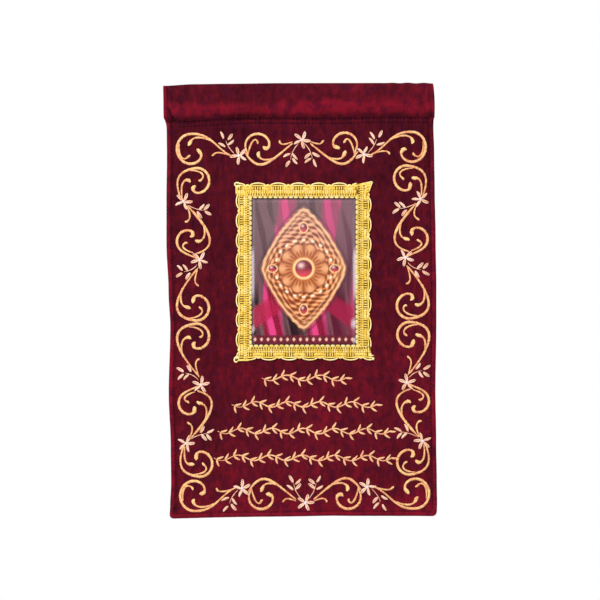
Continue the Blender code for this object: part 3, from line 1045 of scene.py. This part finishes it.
def layCord(bm, places, half, tone, sides=6):
    # A cord with rounded ends along places on the banner.
    reach = np.concatenate(([0], np.cumsum(np.linalg.norm(np.diff(places, axis=0), axis=1))))
    fromEnd = np.minimum(reach, reach[-1] - reach) / mm
    wide = half * mm * roundEnd(fromEnd, half * 0.7)
    addStrand(bm, places, wide, wide * gimp["cordFlat"], reach, tone, sides)


def onBraid(x, drop, up):
    # x, drop and the height over the braid's back in mm become places on the banner.
    x, drop = x * mm, drop * mm
    return np.column_stack((x, faceY(x, drop) - braidLift(x, drop) - up * mm, drop))


def arch(foot, wide, low, high, up, power, first=0.0, last=1.0, count=15):
    # A scallop's arch as (along, out, up) rows in mm on a strip.
    t = np.linspace(first, last, count)
    out = low + (high - low) * np.sin(math.pi * t) ** power
    return np.column_stack((foot + wide * t, out, np.full(count, up)))


def layTooth(cord, rng, foot, wide, whole):
    # Window edge: low rounded teeth of doubled thread, with a bridge on either side
    light = 0.42 + 0.12 * rng.random()
    if whole:
        cord(arch(foot, wide, 1.5, 0.7, 0.30, 0.7, 0.03, 0.97, 11), gimp["tooth"], light + 0.10)
        for part, top in ((0.12, 1.6), (0.37, 1.3), (0.63, 1.3), (0.88, 1.6)):
            x = foot + wide * part
            cord(((x, top, 0.22), (x, 2.8, 0.22)), gimp["toothFill"], light, 0.6)
    for x in (foot, foot + wide / 2):
        light = 0.34 + 0.12 * rng.random()
        cord(((x, 2.3, 0.15), (x, 4.6, 0.3)), gimp["bridge"], light, 0.7)


def layPlait(cord, rng, foot):
    # Plaited band: two rows of slanting lumps that meet in a herringbone
    light = 0.34 + 0.16 * rng.random()
    inward = ((foot - 0.9, 4.2, 0.15), (foot, 5.1, 0.35), (foot + 0.9, 6.0, 0.15))
    outward = ((foot + 0.9, 5.7, 0.2), (foot, 6.7, 0.4), (foot - 0.9, 7.7, 0.1))
    cord(inward, gimp["plait"], light)
    cord(outward, gimp["plait"], light + 0.06)


def layFan(cord, rng, middle, unit):
    # Fan from the band out to the scallop's cord: open slots in the middle, close at the ends
    for away in gimp["spokesAway"]:
        isOpen = away < gimp["openTo"]
        half, root = (gimp["spoke"], 7.6) if isOpen else (gimp["closeSpoke"], 7.3)
        tip = 10.4 + 0.9 * math.cos(math.pi * away / unit)
        for hand in (-1, 1) if away else (1,):
            foot = middle + hand * away
            spoke = ((foot, root, 0.1), (foot + hand * 0.1, 9.5, 0.35), (foot, tip, 0.15))
            cord(spoke, half, 0.32 + 0.14 * rng.random(), 0.8)


def layRim(cord, origin, unit, whole):
    # The scallop's two outer cords, then a loop and a knot over the valley beside it
    if whole:
        cord(arch(origin, unit, 10.6, 12.0, 0.35, 0.9, 0.02, 0.98), gimp["innerCord"], 0.44)
        cord(arch(origin + 2.0, unit - 4.0, 11.8, 14.2, 0.25, 0.6), gimp["picot"], 0.64)
    cord(arch(origin - 2.2, 4.4, 11.1, 12.6, 0.30, 0.7, count=9), gimp["picot"], 0.54)
    knot = ((origin - 1.6, 11.2, 0.15), (origin, 11.6, 0.25), (origin + 1.6, 11.2, 0.15))
    cord(knot, gimp["knot"], 0.42)


def buildStrip(name, down, start, end, inner, side, unit, valley, firstTooth, lastTooth, node):
    rng = np.random.default_rng(len(name) + int(end))
    bm = newStrands()
    length = end - start

    def lay(points, lift):
        # (along, out, up) rows in mm on the strip become places on the banner.
        along, out = start + points[:, 0], inner + side * points[:, 1]
        x, drop = (out, along) if down else (along, out)
        return onBraid(x, drop, lift + points[:, 2])

    def cord(points, half, tone, step=gimp["cordStep"]):
        points = np.array(points)
        points = points[(points[:, 0] > 0.3) & (points[:, 0] < length - 0.3)]
        if len(points) > 1:
            spots, _ = resample(points, step)
            layCord(bm, lay(spots, half * gimp["cordFlat"]), half, tone)

    quarter = unit / 4
    for k in range(-1, int(length / unit) + 1):
        origin = valley + k * unit
        for foot in (origin + j * quarter for j in range(4)):
            layTooth(cord, rng, foot, quarter, firstTooth <= foot + quarter / 2 <= lastTooth)
        for j in range(gimp["plaitLumps"]):
            lump = origin + (j + 0.5) * unit / gimp["plaitLumps"]
            layPlait(cord, rng, lump + rng.normal(0, 0.07))
        layFan(cord, rng, origin + unit / 2, unit)
        layRim(cord, origin, unit, k >= 0 or not down)
    # Ends turned under, with a cord across the strip, and what shows at the four corners
    if name == "gimpTop":
        cord(((0.6, 3.6, 0.1), (0.6, 7.0, 0.3), (0.6, 12.0, 0.1)), 0.7, 0.45)
    if name == "gimpLeft":
        last = length - 0.6
        cord(((last, 2.0, 0.2), (last, 7.0, 0.3), (last, 13.2, 0.2)), 0.8, 0.55)
    if name in cornerLoops:
        addLoop(bm, *cornerLoops[name])
    if name == "gimpRight":
        addFoldSpike(bm)
    if name == "gimpBottom":
        addFray(bm, rng)
    braid = finishStrands(bm, name, thread["braidThread"], (node,))
    return [braid, addBase(name + "Base", lay, length, unit, valley)]


def addLoop(bm, x, drop, wide, high, turn):
    t = np.linspace(0.04, 0.96, 21) * math.tau
    a = math.radians(turn)
    u, v = wide * np.cos(t), high * np.sin(t)
    across = x + u * math.cos(a) - v * math.sin(a)
    down = drop + u * math.sin(a) + v * math.cos(a)
    layCord(bm, onBraid(across, down, 0.8), gimp["loop"], 0.66)


def addFoldSpike(bm):
    for k, (x, drop, endX, endDrop) in enumerate(mitreCords):
        spots = np.linspace((x, drop), (endX, endDrop), 9)
        spread = 0.14 * np.sin(np.arange(9) * 1.9 + k)
        places = onBraid(*spots.T, 0.7 + 0.25 * (k % 2))
        layCord(bm, places, gimp["foldCord"], 0.24 + 0.26 * (k % 2) + spread)
    for x, drop, endX, endDrop in mitreEdges:
        spots = np.linspace((x, drop), (endX, endDrop), 13)
        layCord(bm, onBraid(*spots.T, 0.9), gimp["foldEdge"], 0.56)


def addFray(bm, rng):
    # Cut end at the bottom right: loose threads that spread out past the corner.
    last = gimp["frayThreads"] - 1
    t = np.linspace(0, 1, 9)
    for k in range(gimp["frayThreads"]):
        drop = 250.0 + 7.0 * k / last + rng.normal(0, 0.3)
        reach = 0.6 + 3.4 * rise(drop, 250, 4) * rng.uniform(0.6, 1.0)
        sway = rng.normal(0, 0.5) * t ** 2 + 0.3 * np.sin(5 * t + k)
        up = 0.7 + 0.5 * np.sin(math.pi * t)
        places = onBraid(65.0 + (1.6 + reach) * t, drop + sway, up)
        layCord(bm, places, rng.uniform(0.26, 0.42), 0.66 + 0.1 * rng.random(), 5)


def addBase(name, lay, length, unit, valley):
    # A thin woven ground under the cords, so that no velvet shows between them.
    columns, rows = round(length / 1.6), 14
    mesh, column, row = gridMesh(name, columns, rows)
    along = length * column / columns
    outer = 10.6 + 1.4 * np.abs(np.sin(math.pi * (along - valley) / unit)) ** 0.9
    out = 2.3 + (outer - 2.3) * row / rows
    setPlaces(mesh, *lay(np.column_stack((along, out, np.zeros(len(out)))), 0.0).T)
    # Painted shade where the slots of the fan and the row of small holes let the ground show
    dark = 0.42 * rise(out, 8.0, 0.9) * rise(out, 11.2, -0.9) + 0.25 * rise(out, 4.2, -0.8)
    setAttribute(mesh, "tone", 0.05 - dark)
    setAttribute(mesh, "along", along * mm)
    # The strips run both ways, so the sheet's front is turned to the face before it is thickened
    bm = bmesh.new()
    bm.from_mesh(mesh)
    bm.faces.ensure_lookup_table()
    bm.normal_update()
    if bm.faces[len(bm.faces) // 2].normal.y > 0:
        bmesh.ops.reverse_faces(bm, faces=bm.faces)
    bm.to_mesh(mesh)
    bm.free()
    item = addPiece(name, mesh, thread["braidThread"])
    thicken(item, gimp["baseHigh"], 1)
    return item


gimpBraid = []
for strip in strips:
    gimpBraid += buildStrip(*strip)


# Printed card: drapery behind a lozenge plaque, painted by formula on the card's vertices
card = {
    "under": 3.0 * mm,
    "thick": 0.8 * mm,
    "lift": 0.3 * mm,
    "dome": 0.5 * mm,
    "cell": 0.55 * mm,
    "middleX": 4.8 * mm,
    "middleDrop": 175 * mm,
    "halfWide": 48,  # half the window, in mm
    "halfTall": 67.6,
}
film = {
    "thick": 0.4 * mm,
    "lift": 1.4 * mm,
    "dome": 1.0 * mm,
    "cell": 2.0 * mm,
    "pucker": 0.35 * mm,
    # Painted reflections on the film: a soft one over the upper part, glints, and light rims along the
    # sides and top
    "topReflection": 0.030,
    "sideGlint": 0.55,
    "sideRimHighlight": 0.14,
    "topRimHighlight": 0.16,
    "glints": (  # side, in from it, up from the foot, radius, stretch, strength
        (1, 1.6, 19.5, 3.0, 2.2, 0.55),
        (1, 1.0, 4.0, 1.8, 1.5, 0.60),
        (-1, 1.2, 14.0, 2.0, 2.4, 0.45),
    ),
}
# Linear colours of the print
drapery = {
    "ground": (0.128, 0.060, 0.068),
    "hollow": (0.055, 0.012, 0.020),
    "rose": (0.33, 0.032, 0.100),
    "ridge": (0.62, 0.042, 0.180),
    "low": (0.22, 0.003, 0.026),
    "darkFold": (0.016, 0.003, 0.006),
    "swag": (0.36, 0.008, 0.045),
    "rightLow": (0.20, 0.002, 0.040),
    "rightHigh": (0.20, 0.010, 0.070),
}
plaque = {
    "gold": (0.46, 0.125, 0.026),
    "light": (0.62, 0.22, 0.065),
    "pale": (0.58, 0.27, 0.165),
    "chased": (0.15, 0.024, 0.013),
    "raised": (0.80, 0.44, 0.22),
    "rim": (0.78, 0.46, 0.24),
    "groove": (0.22, 0.07, 0.03),
    "petal": (0.50, 0.15, 0.040),
    "crown": (0.70, 0.33, 0.15),
    "hatch": (0.17, 0.030, 0.013),
    "petalLine": (0.20, 0.05, 0.02),
    "rib": (0.28, 0.07, 0.025),
    "bead": (0.95, 0.78, 0.55),
    "shadow": (0.02, 0.01, 0.012),
    "setting": (0.82, 0.50, 0.22),
    "stone": (0.16, 0.012, 0.022),
    "stoneLow": (0.55, 0.05, 0.07),
    "stoneLight": (0.95, 0.60, 0.58),
    "strip": (0.115, 0.008, 0.018),
    "diamond": (0.80, 0.44, 0.33),
    "edge": (0.045, 0.014, 0.012),
}
# Red stones of the plaque, one large in the middle and one at each tip: u, v, half width, half height
stones = (
    (0, -0.04, 8.2, 8.2),
    (0, -0.60, 3.4, 4.4),
    (0, 0.52, 3.4, 4.4),
    (-0.60, -0.04, 4.0, 3.2),
    (0.60, -0.04, 4.0, 3.2),
)


def layerPlaces(layer):
    left, right = banner["windowLeft"] - card["under"], banner["windowRight"] + card["under"]
    top, bottom = banner["windowTop"] - card["under"], banner["windowBottom"] + card["under"]
    columns, rows = round((right - left) / layer["cell"]), round((bottom - top) / layer["cell"])
    mesh, column, row = gridMesh("layer", columns, rows)
    across, up = column / columns, row / rows
    x = left + (right - left) * across
    drop = bottom - (bottom - top) * up
    domed = np.minimum(1, 1.6 * np.sin(math.pi * across) * np.sin(math.pi * up))
    return mesh, x, faceY(x, drop) - layer["lift"] - layer["dome"] * domed, drop, up


def blend(base, *layers):
    # Each layer is a colour and how far it covers what lies below it.
    for colour, amount in layers:
        amount = np.clip(amount, 0, 1)[:, None]
        base = np.array(base) * (1 - amount) + np.array(colour) * amount
    return base


def paintDrapery(u, v):
    # Hanging cloth in rose and slate, with dark folds low down, and redder down the right side
    fold = np.sin(7.4 * u + 1.1 * np.sin(2.1 * v + 0.6) - 1.3)
    small = np.sin(23 * u - 3.0 * v + 1.2 * np.sin(5 * v))
    swag = np.sin(7 * (v - 0.5 * np.abs(u)) + 0.4)
    low = rise(v, -0.25, 0.6)
    rightLow = rise(u, 0.25, 0.4) * rise(v, 0.15, 0.4)
    return blend(
        drapery["ground"],
        (drapery["hollow"], rise(small * 0.6 - fold * 0.5, 0.4, 0.4) * 0.8),
        (drapery["rose"], rise(fold + 0.10 * low, 0.15, 0.3) * (0.75 + 0.25 * low)),
        (drapery["ridge"], rise(fold * 0.6 + small * 0.4, 0.40, 0.3) * (0.72 + 0.28 * low)),
        (drapery["low"], rise(fold * 0.5 - small * 0.5, 0.30, 0.3) * low),
        (drapery["darkFold"], rise(-fold * 0.7 - small * 0.3, 0.35, 0.3) * rise(v, 0.05, 0.4)),
        (drapery["swag"], rise(swag, 0.3, 0.4) * rise(v, 0.2, 0.3) * 0.8),
        (drapery["rightLow"], 0.36 * rightLow),
        (drapery["rightHigh"], 0.20 * rise(u, 0.2, 0.4) * (1 - rightLow)),
    )


def paintPlaque(u, v, bow):
    # Chased gold with a double rim, and in its middle a rosette of petals with beads around it
    angle = np.arctan2(v * card["halfTall"] / card["halfWide"] + 0.056, u)
    radius = np.hypot(u * card["halfWide"], (v + 0.04) * card["halfTall"])
    chased = np.sin(radius * 1.15 + 2.2 * np.sin(6 * angle)) * np.sin(16 * angle + radius * 0.36)
    petals = 21 + 2.4 * np.abs(np.cos(5 * angle))
    inside = rise(radius, petals, -0.8)
    hatch = rise(np.sin(30 * angle + 0.25 * radius), 0.25, 0.5) * rise(radius, 10.5, 1.5)
    ribs = rise(np.abs(np.sin(5 * angle)), 0.93, 0.05) * rise(radius, 10, 2)
    return blend(
        plaque["gold"],
        (plaque["light"], 0.5 + 0.5 * np.sin(1.9 * u - 2.6 * v + 0.5)),
        (plaque["pale"], rise(v, -0.10, -0.5) * 0.8),
        (plaque["chased"], rise(chased, -0.06, 0.30) * 0.90),
        (plaque["raised"], rise(-chased, 0.35, 0.3) * 0.75),
        (plaque["rim"], bell(bow - 0.93, 0.028) + bell(bow - 0.80, 0.012) * 0.7),
        (plaque["groove"], bell(bow - 0.865, 0.016) * 0.8),
        (plaque["petal"], inside * 0.9),
        (plaque["crown"], inside * rise(radius, 13, 6) * np.abs(np.cos(5 * angle)) ** 2),
        (plaque["hatch"], inside * hatch * rise(radius, 19.0, -4) * 0.80),
        (plaque["petalLine"], bell(radius - petals, 0.6)),
        (plaque["rib"], ribs * inside * 0.8),
        (plaque["bead"], rise(np.cos(20 * angle), 0.1, 0.5) * bell(radius - 26.4, 1.0)),
    )


def paintCard(x, drop):
    # u and v run from -1 to 1 over the window.
    u = (x - card["middleX"]) / (card["halfWide"] * mm)
    v = (drop - card["middleDrop"]) / (card["halfTall"] * mm)
    bow = np.abs(u / 0.84) ** 1.25 + np.abs((v + 0.04) / 0.86) ** 1.25  # 1 at the plaque's edge
    colour = blend(
        paintDrapery(u, v),
        (paintPlaque(u, v, bow), rise(bow, 1.0, -0.03)),
        (plaque["shadow"], bell(bow - 1.05, 0.03) * 0.55 * (bow > 1)),
    )
    for centreU, centreV, wide, tall in stones:
        across = (u - centreU) * card["halfWide"] / wide
        down = (v - centreV) * card["halfTall"] / tall
        away = np.hypot(across, down)
        light = bell(np.hypot((across + 0.3) / 0.35, (down + 0.35) / 0.3), 1)
        stone = blend(
            plaque["stone"],
            (plaque["stoneLow"], smooth(down + 0.2)),
            (plaque["stoneLight"], light * 0.85),
        )
        colour = blend(colour, (plaque["setting"], rise(away, 1.28, -0.08)))
        colour = blend(colour, (stone, rise(away, 1.0, -0.07)))
    # Dark strip along the foot with a row of small diamonds, and a painted shadow of the braid round the
    # print's edge
    place = (u * card["halfWide"]) % 6.0 - 3.0
    diamond = np.abs(place) / 1.8 + np.abs((v - 0.93) * card["halfTall"]) / 2.4
    fromEdge = np.minimum(card["halfWide"] * (1 - np.abs(u)), card["halfTall"] * (1 - np.abs(v)))
    return blend(
        colour,
        (plaque["strip"], rise(v, 0.865, 0.015) * 0.92),
        (plaque["diamond"], rise(diamond, 1, -0.35)),
        (plaque["edge"], rise(fromEdge, 1.25, -0.7) * 0.85),
    )


def cardMaterial():
    material, tree, shader = newMaterial("printedCard")
    paint = attributeNode(tree, "print").outputs["Color"]
    speck = noiseNode(tree, objectPlace(tree), 2200, 2)
    grey = rampNode(tree, speck, ((0.3, (0.82, 0.82, 0.82)), (0.7, (1.0, 1.0, 1.0))))
    printed = mixColours(tree, "MULTIPLY", 0.6, paint, grey)
    setSockets(tree, shader, {"Base Color": printed, "Roughness": 0.5, "Specular IOR Level": 0.05})
    return material


def filmMaterial():
    material, tree, shader = newMaterial("clearFilm")
    cloud = noiseNode(tree, objectPlace(tree), 60, 2)
    paintedGlare = attributeNode(tree, "paintedGlare").outputs["Fac"]
    # The alpha carries the film's painted reflections and glints, in a pale lilac over the print
    setSockets(tree, shader, {
        "Base Color": (0.80, 0.68, 0.76),
        "Alpha": mathNode(tree, "MULTIPLY_ADD", cloud, 0.010, paintedGlare),
        "Roughness": 0.12,
        "Coat Weight": 1.0,
        "Coat Roughness": 0.04,
        "Normal": bumpNode(tree, cloud, 0.5 * mm, 0.35),
    })
    return material


def buildCard():
    mesh, x, y, drop, _ = layerPlaces(card)
    setPlaces(mesh, x, y, drop)
    colours = np.column_stack((paintCard(x, drop), np.ones(len(x))))
    layer = mesh.color_attributes.new("print", "FLOAT_COLOR", "POINT")
    layer.data.foreach_set("color", colours.ravel())
    item = addPiece("pictureCard", mesh, cardMaterial(), ("picture_card",))
    thicken(item, card["thick"], 1, use_even_offset=False)
    print("card printed:", len(mesh.vertices), "points")


def buildFilm():
    mesh, x, y, drop, up = layerPlaces(film)
    # The film lifts along its long sides, where it catches the light
    fromSide = np.minimum(x - banner["windowLeft"], banner["windowRight"] - x)
    pucker = film["pucker"] * np.sin(drop / (6.5 * mm) + 2 * np.sin(drop / (19 * mm)))
    pucker = pucker * np.exp(-np.maximum(fromSide, 0) / (4 * mm))
    setPlaces(mesh, x, y - np.maximum(pucker, 0), drop)
    # Painted reflections: a soft reflection over the upper part, glints and light rims along the sides and
    # top, and glints near the lower corners
    glint = rise(drop, 150 * mm, 12 * mm) * rise(drop, 206 * mm, -16 * mm)
    paintedGlare = film["topReflection"] * rise(up, 0.35, 0.5)
    paintedGlare += film["sideGlint"] * glint * rise(fromSide, 2.6 * mm, -2.6 * mm)
    paintedGlare += film["sideRimHighlight"] * bell(fromSide - 1.7 * mm, 0.7 * mm)
    paintedGlare += film["topRimHighlight"] * bell(drop - banner["windowTop"] - 2.1 * mm, 0.6 * mm)
    for side, inward, above, radius, stretch, strength in film["glints"]:
        edge = banner["windowRight"] if side > 0 else banner["windowLeft"]
        down = (drop - banner["windowBottom"] + above * mm) / stretch
        spot = np.hypot(x - edge + side * inward * mm, down)
        paintedGlare += strength * rise(spot, radius * mm, -radius * mm)
    setAttribute(mesh, "paintedGlare", paintedGlare)
    item = addPiece("clearFilm", mesh, filmMaterial(), ("clear_film",))
    thicken(item, film["thick"], 1)


buildCard()
buildFilm()
print("card and film made")


# Studio: pale floor, soft lights, camera square on to the banner
studio = {
    "frameWide": 0.5556,
    "centreX": 1.4 * mm,
    "centreDrop": 201.4 * mm,
    "distance": 1.75,
    "floorHalf": 1.6,
    "floorDrop": 1.25,
    "floorGreys": ((0.3, (0.80, 0.79, 0.78)), (0.7, (0.86, 0.85, 0.84))),
    "ambient": 0.62,
    "white": (1, 1, 1),
    "lights": (  # name, place from the banner's middle, size, power
        ("keyLight", (-1.0, -1.3, 1.2), 0.45, 43),
        ("fillLight", (1.5, -1.6, 0.1), 1.2, 9),
        ("backLight", (0.4, 1.6, 0.9), 1.2, 20),
    ),
}


def buildFloor():
    bm = bmesh.new()
    bmesh.ops.create_grid(bm, x_segments=1, y_segments=1, size=studio["floorHalf"])
    bmesh.ops.translate(bm, verts=bm.verts, vec=(0, 0, -studio["floorDrop"]))
    mesh = meshFrom(bm, "studioFloor")
    floor = addToScene("studioFloor", mesh)
    material, tree, shader = newMaterial("paleFloor")
    speck = noiseNode(tree, objectPlace(tree), 40, 3)
    colour = rampNode(tree, speck, studio["floorGreys"])
    setSockets(tree, shader, {"Base Color": colour, "Roughness": 0.8})
    mesh.materials.append(material)


def buildWorld():
    # Soft light all round, and plain white where the camera sees past the banner
    world = bpy.data.worlds.new("studio")
    world.use_nodes = True
    tree = world.node_tree
    soft = tree.nodes["Background"]
    setSockets(tree, soft, {"Color": studio["white"], "Strength": studio["ambient"]})
    plain = addNode(tree, "ShaderNodeBackground", {"Color": studio["white"], "Strength": 1.0})
    seen = addNode(tree, "ShaderNodeLightPath", {}).outputs["Is Camera Ray"]
    inputs = {0: seen, 1: soft.outputs["Background"], 2: plain.outputs["Background"]}
    mix = addNode(tree, "ShaderNodeMixShader", inputs)
    setSockets(tree, tree.nodes["World Output"], {"Surface": mix.outputs["Shader"]})
    bpy.context.scene.world = world


def buildLightsAndCamera():
    middle = Vector((studio["centreX"], 0, -studio["centreDrop"]))
    for name, place, size, power in studio["lights"]:
        light = bpy.data.lights.new(name, "AREA")
        light.size = size
        light.energy = power
        item = addToScene(name, light)
        item.location = middle + Vector(place)
        item.rotation_euler = (-Vector(place)).to_track_quat("-Z", "Y").to_euler()
    camera = bpy.data.cameras.new("camera")
    camera.lens = camera.sensor_width * studio["distance"] / studio["frameWide"]
    view = addToScene("camera", camera)
    view.location = middle + Vector((0, -studio["distance"], 0))
    view.rotation_euler = (math.pi / 2, 0, 0)
    bpy.context.scene.camera = view
    bpy.context.scene.view_settings.view_transform = "Standard"


buildFloor()
buildWorld()
buildLightsAndCamera()
print("studio made")
